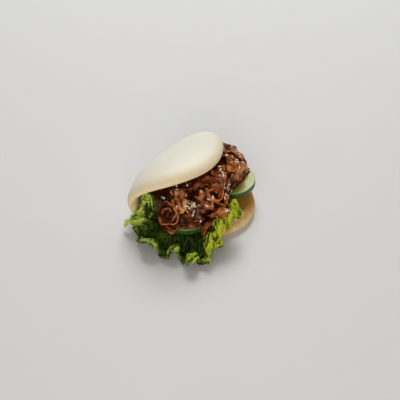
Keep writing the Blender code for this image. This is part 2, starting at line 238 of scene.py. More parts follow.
def paint_bun(at):
    """Cloudy white skin, painted warm shade of cream on the rim, the inside and low down, and sauce that
    soaked into the lip round the filling, widened by painted shade.
    """
    cloud = at.noise(60, 4)
    # Painted warm shade: cream low down, on the rim and on the inside, where the dough turns from the light.
    low = 1 - at.node("ShaderNodeSeparateXYZ", "Z", {"Vector": at}).rise(5 * MM, 48 * MM)
    warm_shade = (at.mark("rim") * 0.6 + at.mark("inside") * 0.5 + low * 0.6 + cloud * 0.25 - 0.2).rise(0, 1)
    # Sauce stain round the filling: partly real soaking, partly painted shade on the lip.
    soaked_and_shaded = (at.mark("stain") + at.noise(140, 5, 0.6) * 0.9 - 0.55).rise(0, 0.8)
    skin = at.noise(900, 3) * 0.35 + at.noise(220, 3) * 0.9
    return {
        "Base_Color": soaked_and_shaded.mix(warm_shade.mix(BUN_WHITE, BUN_WARM_SHADE), SAUCE_STAIN_AND_SHADE),
        "Roughness": at.noise(300, 3) * 0.16 + 0.42 - soaked_and_shaded * 0.12,
        "Normal": skin.bump(0.22, 0.25 * MM),
    }


def make_bun():
    """The dough's two faces and the round rim between them.

    Rings run from the middle of the outer face over the rim to the middle of the inner one. On
    the rim the ring steps in by RIM * (1 - cos t) while the height goes as sin t.
    """
    flat, curved = 44, 14
    in_from_rim = RIM * (1 - np.cos(np.linspace(math.pi / 2, 0, curved)))
    height = np.sin(np.linspace(math.pi / 2, 0, curved))
    face = np.linspace(0, 1, flat, endpoint=False)
    turn = np.linspace(0, 2 * math.pi, 240, endpoint=False)
    half = np.hypot(HALF_FOLD * np.cos(turn), LIP_REACH * np.sin(turn))
    out_face = face[:, None] * (1 - RIM / half)
    out_rim = 1 - in_from_rim[:, None] / half
    out = np.concatenate([out_face, out_rim, out_rim[-2::-1], out_face[::-1]])
    side = np.concatenate([np.ones(flat), height, -height[-2::-1], -np.ones(flat)])[:, None]
    u, v = out * np.cos(turn), out * np.sin(turn)
    puff = 1 + 0.05 * np.sin(5 * u + 2) * np.cos(4 * v + 1) + 0.03 * np.sin(11 * v - 7 * u)
    points = dough(u, v) - dough_normal(u, v) * side[..., None] * (DOUGH / 2 * puff)[..., None]
    pressed = (points[..., 2] < SEAT) & (side > 0)
    points[..., 2] = np.where(pressed, np.maximum(points[..., 2], 0), points[..., 2])
    x, y = points[..., 0], points[..., 1]
    # Mask of the lip's sauce stain, spread past the filling over its shaded parts as painted shade.
    filling = 1 - np.hypot((x - 2 * MM) / (52 * MM), (y + 44 * MM) / (44 * MM))
    stain = np.where((v < 0) & (side < 0.2), smooth(filling / STAIN_AND_SHADE_SOFTNESS + STAIN_AND_SHADE_SPREAD), 0)
    material = finish_of("steamed_dough", paint_bun, Subsurface_Weight=0.25, Subsurface_Scale=0.004,
                         Subsurface_Radius=(1.0, 0.6, 0.35), Specular_IOR_Level=0.4)
    faces = ring_faces(*u.shape)
    # Masks of the painted warm shade: the band along the rim, and the inside.
    rim = smooth((out - 0.8) / 0.2)
    inside = smooth(0.5 - side / 2) * np.ones_like(u)
    return new_piece("steamed_bun", points, faces, material, "bao_bun", "bao_bun",
                     rim=rim, inside=inside, stain=stain)


bun = make_bun()

# ---- Lettuce ----
# One frilly leaf under the filling. It lies on the lower lip, drops over its rim to the table
# and ends in a tightly ruffled, brighter margin; its left lobe curls back round the fold's end.
LEAF = 0.6 * MM                 # thickness; the solid is made thicker
LEAF_GAP = 1.0 * MM             # from the lip to the middle of the leaf
LEAF_X, LEAF_Y, LEAF_REACH = -23 * MM, -46 * MM, 38 * MM
LEAF_LOBES = (                  # bearing, height, spread
    (158, 13 * MM, 11), (190, 17 * MM, 24), (225, 22 * MM, 13), (246, 13 * MM, 13), (278, 9 * MM, 20),
    (95, -20 * MM, 40),
)
LEAF_HUMPS = (                  # x, y, height, spread
    (-47 * MM, -21.5 * MM, 13 * MM, 8.5 * MM), (-40 * MM, -24 * MM, 7 * MM, 6 * MM),
    (-20 * MM, -89 * MM, 7 * MM, 13 * MM), (-2 * MM, -81 * MM, 6 * MM, 9 * MM),
)
LEAF_BANK = (265, 27, 9 * MM)   # bearing, spread and height of the bank behind the front frill
LEAF_FLAT = (-54 * MM, -15 * MM, 9 * MM)        # x, y, radius: flat under the bun's left end
CUCUMBERS = (                   # name, x, y, underside, radius, thickness
    ("cucumber_slice_right", 20 * MM, -59.5 * MM, 17.3 * MM, 20 * MM, 5.5 * MM),
    ("cucumber_slice_middle", 5.5 * MM, -54 * MM, 11.2 * MM, 18 * MM, 5.5 * MM),
    ("cucumber_slice_front", -33 * MM, -53 * MM, 11.2 * MM, 19.5 * MM, 6 * MM),
)
# Deep green of the leaf's inside and its dips, partly painted shade.
LEAF_DEEP_SHADE = (0.006, 0.018, 0.001, 1)
LEAF_GREEN = (0.04, 0.09, 0.004, 1)
LEAF_FRESH = (0.50, 0.68, 0.11, 1)
LEAF_BRIGHT = (0.52, 0.61, 0.04, 1)


def past_lip(x, y):
    """1 on the lower lip's rim, less inside it and more outside."""
    u = x / HALF_FOLD
    v = (y + bend(u)[0] * (1 - FOLD_BELOW * FOLD_TURN) + bow(u)) / LIP_REACH
    return np.sqrt(u * u + v * v)


def leaf_reach(direction):
    """Distance from the leaf's middle to its margin: a circle with lobes and one dent."""
    reach = np.full_like(direction, LEAF_REACH)
    for middle, height, spread in LEAF_LOBES:
        away = (np.degrees(direction) - middle + 180) % 360 - 180
        reach = reach + height * np.exp(-(away / spread) ** 2)
    return reach


def frill_light(bearing):
    """How broad the frill is and how it catches the light: most at the leaf's ends, 0 in front."""
    return 0.85 * np.exp(-((bearing - 152) / 20) ** 2) + np.exp(-((bearing - 268) / 36) ** 2)


def leaf(direction, out):
    """Polar sheet: flat on the lip, down to the table past its rim, with three sizes of ruffle.

    A ruffle moves the sheet up and down by its sine, in and out by its cosine and to and fro by
    the sine of twice its angle, so the frill leans over itself. The second wave is about three
    times as fine as the first, and the third as fine again. They start further out in turn. Round
    humps and a bank lift the sheet, and crossed sine waves crease and blister it, but it stays
    flat under the cucumber. The number returned with each point is high on crests, low in dips.
    """
    bearing = np.degrees(direction)
    broad = frill_light(bearing)
    edge, fringe = smooth((out - 0.5) / 0.5), smooth((out - 0.84) / 0.16)
    frill = smooth((out - 0.7 + 0.14 * broad) / (0.3 + 0.14 * broad))
    shown = smooth((bearing - 120) / 30) * smooth((320 - bearing) / 30)
    first = 20 * direction + 1.3 * np.sin(3 * direction) + 0.5 * np.sin(7 * direction)
    second = 2.9 * first + 1.5 * np.sin(0.61 * first) + 3.2 * np.sin(34 * out + 0.8 * first)
    third = 2.6 * second + 1.2 * np.sin(0.37 * second)
    swirl = math.radians(16) * edge * np.exp(-((bearing - 162) / 25) ** 2)
    angle = direction - swirl - shown * (0.035 * edge * np.sin(2 * first) + 0.012 * frill * np.sin(2 * second)
                                         + 0.004 * fringe * np.sin(2 * third))
    pull = 2.2 * MM * edge * np.cos(first) + (1.6 + 0.8 * broad) * MM * frill * np.cos(second)
    pull = pull + 0.9 * MM * fringe * np.cos(third)
    reach = leaf_reach(direction) * out + shown * (pull - 2 * MM * edge)
    x = LEAF_X + reach * np.cos(angle)
    y = LEAF_Y + reach * np.sin(angle)
    z = DOUGH + LEAF_GAP + (LEAF - DOUGH - LEAF_GAP) * smooth((past_lip(x, y) - 1.07) / 0.2)
    free = np.ones_like(x)
    for _, slice_x, slice_y, _, radius, _ in CUCUMBERS:
        free = free * smooth((np.hypot(x - slice_x, y - slice_y) - radius - 2 * MM) / (6 * MM))
    hump = sum(height * np.exp(-((x - hump_x) ** 2 + (y - hump_y) ** 2) / spread ** 2)
               for hump_x, hump_y, height, spread in LEAF_HUMPS)
    bank_bearing, bank_spread, bank_height = LEAF_BANK
    bank = smooth((out - 0.5) / 0.2) * (1 - 0.8 * smooth((out - 0.7) / 0.3))
    bank = bank_height * bank * np.exp(-((bearing - bank_bearing) / bank_spread) ** 2)
    wall = shown * ((0.8 + 2.4 * broad) * MM * frill + bank)
    flat_x, flat_y, flat_radius = LEAF_FLAT
    lying = 1 - np.exp(-((x - flat_x) ** 2 + (y - flat_y) ** 2) / flat_radius ** 2)
    ruffle = shown * lying * ((5.2 - 3.7 * broad) * MM * edge * (1 + np.sin(first))
                              + (1.6 + 1.3 * broad) * MM * frill * (1 + np.sin(second))
                              + 0.9 * MM * fringe * np.sin(third))
    crease = 1.2 * MM * np.sin(9 * out + 2 * np.sin(5 * direction)) * np.sin(11 * direction + 3 * out)
    blister = np.sin(x / MM * 1.5 + 2 * np.sin(y / MM * 0.5))
    blister = blister * np.sin(y / MM * 1.4 + 1.5 * np.sin(x / MM * 0.6))
    crease = smooth(out / 0.3) * (crease + (0.5 + 1.3 * broad * smooth((out - 0.55) / 0.2)) * MM * blister)
    height = z + (hump + lying * wall + ruffle + crease) * free
    crest = 0.5 + 0.2 * np.sin(second) + 0.2 * blister + 0.25 * (1 - broad) * np.sin(first)
    return np.stack([x, y, np.maximum(height, LEAF)], -1), crest


def paint_leaf(at):
    """Deep green inside and in the dips, partly painted shade; a bright margin, widened and lit on crests as
    painted light; fresh green at the left frill, yellow green at the right one, pale veins.
    """
    turn, out, light, crest = at.mark("bearing"), at.mark("out"), at.mark("light"), at.mark("crest")
    flat = at.node("ShaderNodeCombineXYZ", 0, {"X": turn * 9, "Y": out * 3.2, "Z": at.noise(90, 2) * 0.5})
    net = flat.node("ShaderNodeTexVoronoi", "Distance", {"Vector": flat, "Scale": 1.6},
                    feature="DISTANCE_TO_EDGE")
    vein = 1 - net.rise(0, 0.12)
    blotch = at.noise(75, 4)
    # Darker further in and in the dips: partly the leaf's deeper green, partly painted shade.
    body = (blotch * 0.9 + out * 0.8 + crest * 0.3 - 0.9).rise(0, 0.7).mix(LEAF_DEEP_SHADE, LEAF_GREEN)
    # Bright margin: the leaf's own yellow green, widened where the frill catches the light and lifted on
    # crests, as painted light.
    margin_and_lit_crests = (out + light * (crest * 0.25 + 0.17) + crest * 0.4 + blotch * 0.25 - 0.46).rise(0.82, 1.06)
    bright = turn.rise(3.1, 4.4).mix(LEAF_FRESH, LEAF_BRIGHT)
    colour = (vein * 0.1).mix(margin_and_lit_crests.mix(body, bright), bright)
    blister = at.noise(420, 3) * 0.5 + at.noise(150, 3) - vein * 0.5
    return {"Base_Color": colour, "Roughness": blotch * 0.2 + 0.28, "Normal": blister.bump(0.5, 0.5 * MM)}


def make_leaf():
    """The leaf's polar grid, finer where its frill shows, given its thickness by a Solidify modifier."""
    behind, shown = np.linspace(-28, 118, 50), np.linspace(118, 332, 720)[1:-1]
    turn = np.radians(np.concatenate([behind, shown])) % (2 * math.pi)
    direction, out = np.meshgrid(turn, np.linspace(0, 1, 58) ** 0.72)
    points, crest = leaf(direction, out)
    material = finish_of("lettuce", paint_leaf, Specular_IOR_Level=0.08, Subsurface_Weight=0.15,
                         Subsurface_Scale=0.003, Subsurface_Radius=(0.4, 1.0, 0.1))
    faces = ring_faces(*out.shape)
    piece = new_piece("lettuce_leaf_frill", points, faces, material, "lettuce_leaf", "lettuce_leaf",
                      bearing=direction, out=out, light=frill_light(np.degrees(direction)), crest=crest)
    wall = piece.modifiers.new("Thickness", "SOLIDIFY")
    wall.thickness = LEAF
    wall.offset = 0
    return piece


lettuce = make_leaf()

# ---- Cucumber ----
# Round slices cut across a cucumber: dark ridged skin, pale wet flesh, and three groups of soft
# seeds in the middle. They lie on the lettuce, and the beef is heaped on them.
SKIN_DARK = (0.012, 0.05, 0.008, 1)
SKIN_GREEN = (0.06, 0.17, 0.02, 1)
FLESH = (0.32, 0.31, 0.03, 1)
FLESH_EDGE = (0.30, 0.40, 0.08, 1)
CORE = (0.30, 0.30, 0.08, 1)
SKIN_START = 0.93               # share of the radius where the faces round over into the skin
FACE_RINGS, SKIN_RINGS = 26, 13


def paint_cucumber(at):
    """By the distance from the axis: seedy core, pale flesh, green edge, dark striped skin."""
    out, turn = at.mark("out"), at.mark("turn")
    stripe = at.node("ShaderNodeCombineXYZ", 0, {"X": turn * 6, "Y": 0, "Z": 0}).noise(2.2, 3)
    skin = stripe.rise(0.35, 0.7).mix(SKIN_DARK, SKIN_GREEN)
    ring = (out + at.noise(300, 3) * 0.04).rise(0.84, 0.95)
    flesh = ring.mix(FLESH, FLESH_EDGE)
    core = (out + at.noise(180, 3) * 0.12).rise(0.5, 0.62).mix(CORE, flesh)
    wet = at.noise(250, 3)
    return {
        "Base_Color": out.rise(0.965, 0.985).mix(core, skin),
        "Roughness": wet * 0.25 + 0.25,
        "Normal": (at.noise(700, 3) * 0.4 + wet * 0.6).bump(0.25, 0.3 * MM),
    }


def make_cucumber(name, x, y, underside, radius, thickness, material):
    """A profile turned round the axis: faces that dip a little, a rounded skin with shallow ridges.

    The profile runs out along the lower face, round the skin by a sine and a cosine, and back in
    along the upper face. Soft seeds stand out of the faces as low bumps in three groups.
    """
    flat = np.linspace(0, SKIN_START, FACE_RINGS)
    skin = np.linspace(-math.pi / 2, math.pi / 2, SKIN_RINGS + 2)[1:-1]
    rounded = SKIN_START + (1 - SKIN_START) * np.cos(skin) ** 0.6
    out = np.concatenate([flat, rounded, flat[::-1]])[:, None]
    face = np.concatenate([-np.ones(FACE_RINGS), np.sin(skin), np.ones(FACE_RINGS)])[:, None]
    turn = np.linspace(0, 2 * math.pi, 144, endpoint=False)[None]
    out = out * np.ones_like(turn)
    ridge = 0.006 * np.sin(9 * turn) * smooth((out - 0.9) / 0.1)
    seed = np.maximum(0, np.cos(3 * turn)) * np.exp(-((out - 0.36) / 0.13) ** 2)
    seed = seed * np.maximum(0, np.sin(24 * turn))
    half = thickness / 2 - 0.25 * MM + 0.25 * MM * smooth((out - 0.5) / 0.5) + 0.3 * MM * seed
    sway = 0.35 * MM * np.cos(2 * turn + x * 90) * out ** 2
    reach = radius * out * (1 + ridge)
    lift = np.clip(half * face + sway * np.abs(face), -thickness / 2, thickness / 2)
    middle = underside + thickness / 2
    points = np.stack([x + reach * np.cos(turn), y + reach * np.sin(turn), middle + lift], -1)
    faces, turns = ring_faces(*out.shape), np.broadcast_to(turn, out.shape)
    return new_piece(name + "_flesh", points, faces, material, name, name, out=out, turn=turns)


cucumber_finish = finish_of("cucumber", paint_cucumber, Coat_Weight=0.08, Coat_Roughness=0.1,
                            Subsurface_Weight=0.2, Subsurface_Scale=0.003, Subsurface_Radius=(0.8, 1.0, 0.4))
cucumbers = [make_cucumber(*size, cucumber_finish) for size in CUCUMBERS]

# ---- Beef heap ----
# The inside of the heap: braised shreds pressed together, darker than the slices, filling the fold
# up to the dough. The slices below lie on it, and it shows only in the gaps between them.
MOUND = np.array([-6.5 * MM, -44 * MM, 20 * MM])
MOUND_SIZE = np.array([49.5 * MM, 35 * MM, 25 * MM])
MOUND_LIFT, MOUND_RISE = 0.45, 0.10
LUMPS = (                       # middle, size, growth to the back, lift
    (MOUND, MOUND_SIZE, 0.28, MOUND_LIFT),
    (np.array([5 * MM, -26 * MM, 23 * MM]), np.array([49 * MM, 24 * MM, 26 * MM]), 0.12, 0),
)
HEAP_LEFT, HEAP_RIGHT, HEAP_FRONT = -50 * MM, 43 * MM, -64 * MM
BEEF_DARK = (0.018, 0.005, 0.002, 1)
BEEF_BROWN = (0.12, 0.035, 0.012, 1)


def paint_heap(at):
    """Dark shreds with redder ridges."""
    shred = at.noise(320, 5, 0.6, 1.5)
    return {
        "Base_Color": shred.rise(0.3, 0.75).mix(BEEF_DARK, BEEF_BROWN),
        "Roughness": at.noise(200, 3) * 0.3 + 0.2,
        "Normal": (shred + at.noise(900, 3) * 0.4).bump(0.8, 0.8 * MM),
    }


def crumple(points):
    """Crossing ripples of a few sizes, between -1 and 1, for the crinkles of a heap of shreds."""
    x, y, z = (points[:, i] / MM for i in range(3))
    warp = 1.6 * np.sin(x * 0.21 + z * 0.13) + 1.3 * np.sin(y * 0.27 - z * 0.19)
    coarse = np.sin(x * 0.71 + warp) * np.sin(y * 0.63 - warp + 1) * np.cos(z * 0.77 + warp)
    fine = np.sin(x * 1.9 - 2 * warp) * np.cos(y * 1.7 + z * 1.3 + warp)
    return 0.65 * coarse + 0.35 * fine


def held(value, limit, give=6 * MM):
    """The value, slowed down below the limit so that it never goes further than give past it."""
    return np.maximum(value, limit) - give * (1 - np.exp(np.minimum(value - limit, 0) / give))


def sink(x, z):
    """How far the heap's right end sinks under its own weight."""
    return 4.5 * MM * smooth((x - 16 * MM) / (18 * MM)) * smooth((z - 26 * MM) / (10 * MM))


def heap_ends(x, y, z):
    """The heap's ends: held short of the cucumber's rim at the right, and of the leaf at the left.

    The right half is held back at its front too, where the cucumber shows. The left limit steps in
    towards the fold, where the leaf curls up.
    """
    sunk = z - sink(x, z)
    y = y + smooth((x + 9 * MM) / (9 * MM)) * (held(y, HEAP_FRONT) - y)
    left = HEAP_LEFT + 13 * MM * smooth((y + 39 * MM) / (13 * MM))
    x = x + smooth((y + 48 * MM) / (10 * MM)) * (held(x, left, 4 * MM) - x)
    return -held(-x, -HEAP_RIGHT), y, sunk


def make_lumps():
    """Two rough ellipsoids, bigger and higher to the back: the mound and what fills the fold."""
    bm = bmesh.new()
    for middle, size, back, lift in LUMPS:
        made = bmesh.ops.create_icosphere(bm, subdivisions=5, radius=1)["verts"]
        x, y, z = np.array([vert.co for vert in made]).T
        rough = 0.9 + 0.04 * np.sin(7 * x + 3 * y) * np.cos(6 * z - 2 * y) + back * np.maximum(y, 0)
        points = np.stack([x, y, z * (1 + lift * smooth((y + 0.6) / 0.6) * smooth(z / 0.5))], -1)
        points = points * size * rough[:, None]
        points[:, 2] += MOUND_RISE * points[:, 0]
        for vert, point in zip(made, points + middle + FOLD):
            vert.co = point
    mesh = bpy.data.meshes.new("lumps")
    bm.to_mesh(mesh)
    bm.free()
    return mesh


def shaped(name, mesh, *modifiers):
    """A passing object with these modifiers, each a type and its settings."""
    passing = bpy.data.objects.new(name, mesh)
    bpy.context.scene.collection.objects.link(passing)
    for kind, settings in modifiers:
        modifier = passing.modifiers.new(kind, kind)
        for setting, value in settings.items():
            setattr(modifier, setting, value)
    return passing


def make_heap():
    """The filling's solid without the slices that stand out of it, remeshed finely and crinkled."""
    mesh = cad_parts["beef_filling"].data.copy()
    bm = bmesh.new()
    bm.from_mesh(mesh)
    bmesh.ops.remove_doubles(bm, verts=bm.verts, dist=MERGED)
    bm.to_mesh(mesh)
    bm.free()
    lumps = shaped("lumps", make_lumps(), ("REMESH", {"mode": "VOXEL", "voxel_size": 1.5 * MM}))
    common = {"operation": "INTERSECT", "object": lumps, "solver": "MANIFOLD"}
    rough = shaped("heap_rough", mesh, ("BOOLEAN", common),
                   ("REMESH", {"mode": "VOXEL", "voxel_size": 1.0 * MM}), ("SMOOTH", {"iterations": 3}))
    graph = bpy.context.evaluated_depsgraph_get()
    fine = bpy.data.meshes.new_from_object(rough.evaluated_get(graph))
    bpy.data.objects.remove(rough)
    bpy.data.objects.remove(lumps)
    count = len(fine.vertices)
    points, normals = np.empty(count * 3), np.empty(count * 3)
    fine.vertices.foreach_get("co", points)
    fine.vertex_normals.foreach_get("vector", normals)
    points, normals = points.reshape(-1, 3), normals.reshape(-1, 3)
    points = points + normals * (0.8 * MM * crumple(points) - 0.4 * MM)[:, None]
    points = np.stack(heap_ends(*(points - FOLD).T), -1) + FOLD
    faces = np.empty(len(fine.loops), int)
    fine.loops.foreach_get("vertex_index", faces)
    material = finish_of("beef_under", paint_heap, Coat_Weight=0.2, Coat_Roughness=0.2,
                         Specular_IOR_Level=0.3)
    faces = faces.reshape(-1, 4)
    return new_piece("beef_heap", points - FOLD, faces, material, "beef_filling", "beef_filling")


heap = make_heap()

# ---- Beef slices ----
# Thin shaved slices, braised until they crinkle and curl, some rolled up, with narrow shreds
# between them. They are glazed with a dark sweet sauce, redder along the fibres and paler where
# there is fat. Painted light makes the ridges paler, and painted shade makes the hollows darker.
SLICE = 1.5 * MM
RAISED = 5 * MM                 # from the heap to the middle of a large slice, before it is pressed
CRINKLE = 1.2 * MM              # height of the pleats
SLACK, BROADER = 1.25, 1.15     # how much longer and wider a slice is than what shows of it
SWING = 26                      # degrees that a large slice's path turns to and fro
SLICE_GRID, SCRAP_GRID = (64, 28), (44, 20)     # rings along a slice, points round each
STANDING = 1.045                # above this share of the heap's size a slice stands out
PICTURE = 400                   # the frame's width and height in pixels
# Slices 6 to 8 lie just under the roof's near edge; their low tones are partly painted shade from it.
SLICES = (                      # pixel across, down, heading in the picture, length, width, curl, tone
    (233, 153, 16, 22, 15, 30, -0.1), (241, 164, 70, 16, 10, 90, 1.0), (231, 170, -20, 17, 10, 80, 0.9),
    (240, 172, 100, 14, 9, 90, 1.0), (235, 180, 10, 18, 9, 70, 0.9), (228, 162, 50, 16, 12, 60, -0.1),
    (216, 178, 60, 18, 12, 50, -0.2), (207, 180, 20, 20, 12, 40, -0.5), (195, 185, -15, 22, 13, 40, -0.5),
    (226, 188, 15, 15, 8, 70, 0.4), (201, 198, 62, 20, 11, 50, 0.1), (211, 205, 32, 22, 8, 60, 0.2),
    (210, 213, -30, 14, 10, 120, 0.45), (193, 211, 20, 16, 12, 80, 0.7), (186, 217, -10, 18, 11, 70, 0.5),
    (192, 222, 8, 20, 9, 40, 0.3), (203, 227, 100, 24, 6, 30, -0.3), (180, 199, 82, 24, 11, 25, 1.9),
    (170, 205, -20, 17, 9, 50, 0.3), (167, 195, 10, 18, 12, 40, -0.3), (162, 206, 80, 14, 8, 60, 0.2),
    (173, 223, 22, 20, 5, 40, 0.7), (181, 189, 0, 18, 10, 40, -0.3), (213, 186, -30, 14, 9, 60, 0.2),
    (240, 150, 30, 18, 8, 50, 0.9),
)
ROLLS = (                       # pixel across, down, turns, width, hole's radius, tone
    (170.5, 212, 2.05, 9, 2.2, 1.35), (212, 195, 1.4, 8, 2.2, -0.1), (218.5, 214.5, 1.3, 6, 2.0, 0.3),
)
ROLL_PITCH = 3.1 * MM
FLARE = 0.95                    # how much wider a roll opens over its own width
SMALL_CUTS = (                  # kind, count, bearings, heights, lengths, widths, how loose it lies
    ("scrap", 84, (-215, 12), (-15, 68), (13, 24), (8, 14), 0.6),
    ("shred", 20, (-205, 8), (-15, 68), (14, 24), (2.6, 5), 0.6),
    ("inner scrap", 14, (8, 58), (-48, 12), (13, 24), (8, 14), 1),
)
CAMERA_AZIMUTH, CAMERA_HEIGHT = math.radians(-52), math.radians(42)
CAMERA_DISTANCE = 0.72
FOCAL = 814                     # in pixels of that frame
AIM = np.array([11.757 * MM, -31.677 * MM, -11.37 * MM])
MAP_CELLS = 160                 # of 1 mm, along each side of the maps that the slices keep between
# Near-black of random dark patches and of the painted shade in the slices' hollows.
BEEF_DEEP_AND_SHADE = (0.032, 0.004, 0.0005, 1)
BEEF_RED = (0.135, 0.018, 0.004, 1)
BEEF_TAN = (0.62, 0.215, 0.06, 1)
BEEF_FAT = (0.80, 0.40, 0.16, 1)


def mound_frame(azimuth, height):
    """Place on the mound and its outward direction, by two angles in degrees."""
    azimuth, height = math.radians(azimuth), math.radians(height)
    level = math.cos(height)
    out = np.array([level * math.cos(azimuth), level * math.sin(azimuth), math.sin(height)])
    spot = out * MOUND_SIZE
    spot[2] *= 1 + MOUND_LIFT * smooth((out[1] + 0.6) / 0.6) * smooth(out[2] / 0.5)
    spot[2] += MOUND_RISE * spot[0]
    return MOUND + spot, unit(out / MOUND_SIZE)


def camera_axes():
    """Where the camera stands, and its right, up and backward directions."""
    cos_height = math.cos(CAMERA_HEIGHT)
    back = np.array([math.sin(CAMERA_AZIMUTH) * cos_height, -math.cos(CAMERA_AZIMUTH) * cos_height,
                     math.sin(CAMERA_HEIGHT)])
    right = np.array([math.cos(CAMERA_AZIMUTH), math.sin(CAMERA_AZIMUTH), 0])
    return AIM + FOLD + back * CAMERA_DISTANCE, right, np.cross(back, right), back


def line_of_sight(across, down):
    """The camera's place, and the direction in which it sees a point of the picture, as Vectors."""
    eye, right, up, back = camera_axes()
    ray = unit(right * (across - PICTURE / 2) - up * (down - PICTURE / 2) - back * FOCAL)
    return Vector(eye), Vector(ray)


def tree_of(*objects):
    """One search tree over some pieces' surfaces."""
    points, faces = [], []
    for piece in objects:
        start = len(points)
        points += [vertex.co.copy() for vertex in piece.data.vertices]
        faces += [[start + index for index in face.vertices] for face in piece.data.polygons]
    return BVHTree.FromPolygons(points, faces)


def axes_on(normal, heading):
    """Three directions: along the surface, turned by heading; across; and the normal."""
    side = unit(np.cross(normal, [0, 0, 1]))
    up = np.cross(normal, side)
    along = side * math.cos(math.radians(heading)) + up * math.sin(math.radians(heading))
    return along, np.cross(normal, along), normal


def ribbon(path_x, path_z, width, phase, crumple_height, rows, columns, side_bend=0, cup=0):
    """A slice as a flat tube round a path: x along, y across, z up from the path.

    The cross-section is a squared ellipse. It is lifted by pleats that run along the slice, by
    finer waves across them, and by frills that grow towards its edges, which also stand up by
    cup. The width is ragged, closes at both ends, and bends sideways by side_bend.
    """
    steps = np.linspace(0, 1, len(path_x))
    s = (1 - np.cos(np.linspace(0, math.pi, rows))) / 2
    t = np.linspace(0, 2 * math.pi, columns, endpoint=False)[None]
    x, z = (np.interp(s, steps, path)[:, None] for path in (path_x, path_z))
    slope = unit(np.stack([np.gradient(path_x), np.gradient(path_z)], -1))
    away_x, away_z = (np.interp(s, steps, part)[:, None] for part in (-slope[:, 1], slope[:, 0]))
    length = np.hypot(np.diff(path_x), np.diff(path_z)).sum() / MM
    s = s[:, None]
    close = np.clip(1 - np.abs(2 * s - 1) ** 6, 0, 1) ** 0.5
    ragged = 1 + 0.10 * np.sin(length * s * 1.1 + phase) + 0.07 * np.sin(length * s * 2.3 + 2 * phase)
    half = width / 2 * (0.7 + 0.3 * np.sin(math.pi * s)) * close * ragged
    across = np.sign(np.cos(t)) * np.abs(np.cos(t)) ** 0.8
    a, b = length * s, half / MM * across
    pitch = 1.05 + 0.4 * math.sin(3.1 * phase)
    sway = 1.3 * np.sin(0.25 * a + phase) + 0.45 * np.sin(0.8 * a - phase)
    ridge = 2 * np.abs(np.sin((pitch * b + sway + phase) / 2)) ** 0.8 - 1
    fine = np.sin(1.3 * a + 1.3 * np.sin(0.9 * b + phase) + 3 * phase)
    frill = across ** 2 * np.sin(1.0 * a + phase + 1.7 * np.sign(across))
    height = 0.6 * ridge + 0.1 * fine + 0.45 * frill
    thick = SLICE / 2 * np.sign(np.sin(t)) * np.abs(np.sin(t)) ** 0.7 * close
    lift = (crumple_height * height + cup * (across ** 2 - 0.3)) * close + thick
    bent = side_bend * (s - 0.5) ** 2
    points = np.stack([x + away_x * lift, half * across + bent, z + away_z * lift], -1)
    return points, a * np.ones_like(t), b, np.clip(height + 0.6 * across ** 6, -1, 1)


def crinkled_path(length, curl, swing, phase):
    """A path whose heading swings to and fro while it curls, in degrees, centred on its middle."""
    steps = np.linspace(0, 1, 240)
    waves = length / (12 * MM)
    heading = np.radians(curl) * (0.5 - steps)
    heading = heading + np.radians(swing) * np.sin(2 * math.pi * waves * steps + phase)
    heading = heading + 0.25 * np.sin(2 * math.pi * 2.3 * waves * steps + 2 * phase)
    path_x, path_z = np.cumsum(np.cos(heading)) * length / 240, np.cumsum(np.sin(heading)) * length / 240
    return path_x - path_x.mean(), path_z - path_z.mean()


def rolled_path(turns, hole):
    """A spiral from the hole outwards, with small waves; its outer end is tucked in."""
    angle = np.linspace(0, 2 * math.pi * turns, 240)
    radius = hole + ROLL_PITCH * angle / (2 * math.pi) + 0.25 * MM * np.sin(5 * angle)
    radius = radius - 0.55 * ROLL_PITCH * smooth((angle - angle[-1] + 1.2) / 1.2)
    return radius * np.cos(angle), radius * np.sin(angle)


def map_cells(x, y):
    """The cell of each point on a map whose middle is the fold frame's origin."""
    return tuple(np.clip((w / MM + MAP_CELLS / 2).astype(int), 0, MAP_CELLS - 1) for w in (x, y))


def height_map(x, y, z, keep, empty):
    """Heights gathered on a grid of 1 mm cells: keep is np.minimum or np.maximum."""
    grid = np.full((MAP_CELLS, MAP_CELLS), empty)
    keep.at(grid, map_cells(x, y), z)
    return grid


def read_map(grid, x, y):
    """The height on that grid at each point."""
    return grid[map_cells(x, y)]


def make_limits():
    """The roof's underside and the leaf's top, as maps that the slices keep between."""
    u, v = np.meshgrid(np.linspace(-1, 1, 500), np.linspace(0, 1, 500))
    inner = dough(u, v) + dough_normal(u, v) * DOUGH / 2
    roof = (u * u + v * v <= 1) & (v > 0.25)
    ceiling = height_map(inner[roof][:, 0], inner[roof][:, 1], inner[roof][:, 2], np.minimum, 1.0)
    direction, out = np.meshgrid(np.linspace(0, 2 * math.pi, 900), np.linspace(0, 1, 200))
    top, _ = leaf(direction, out)
    return ceiling, height_map(top[..., 0], top[..., 1], top[..., 2], np.maximum, DOUGH)


CEILING, GROUND = make_limits()


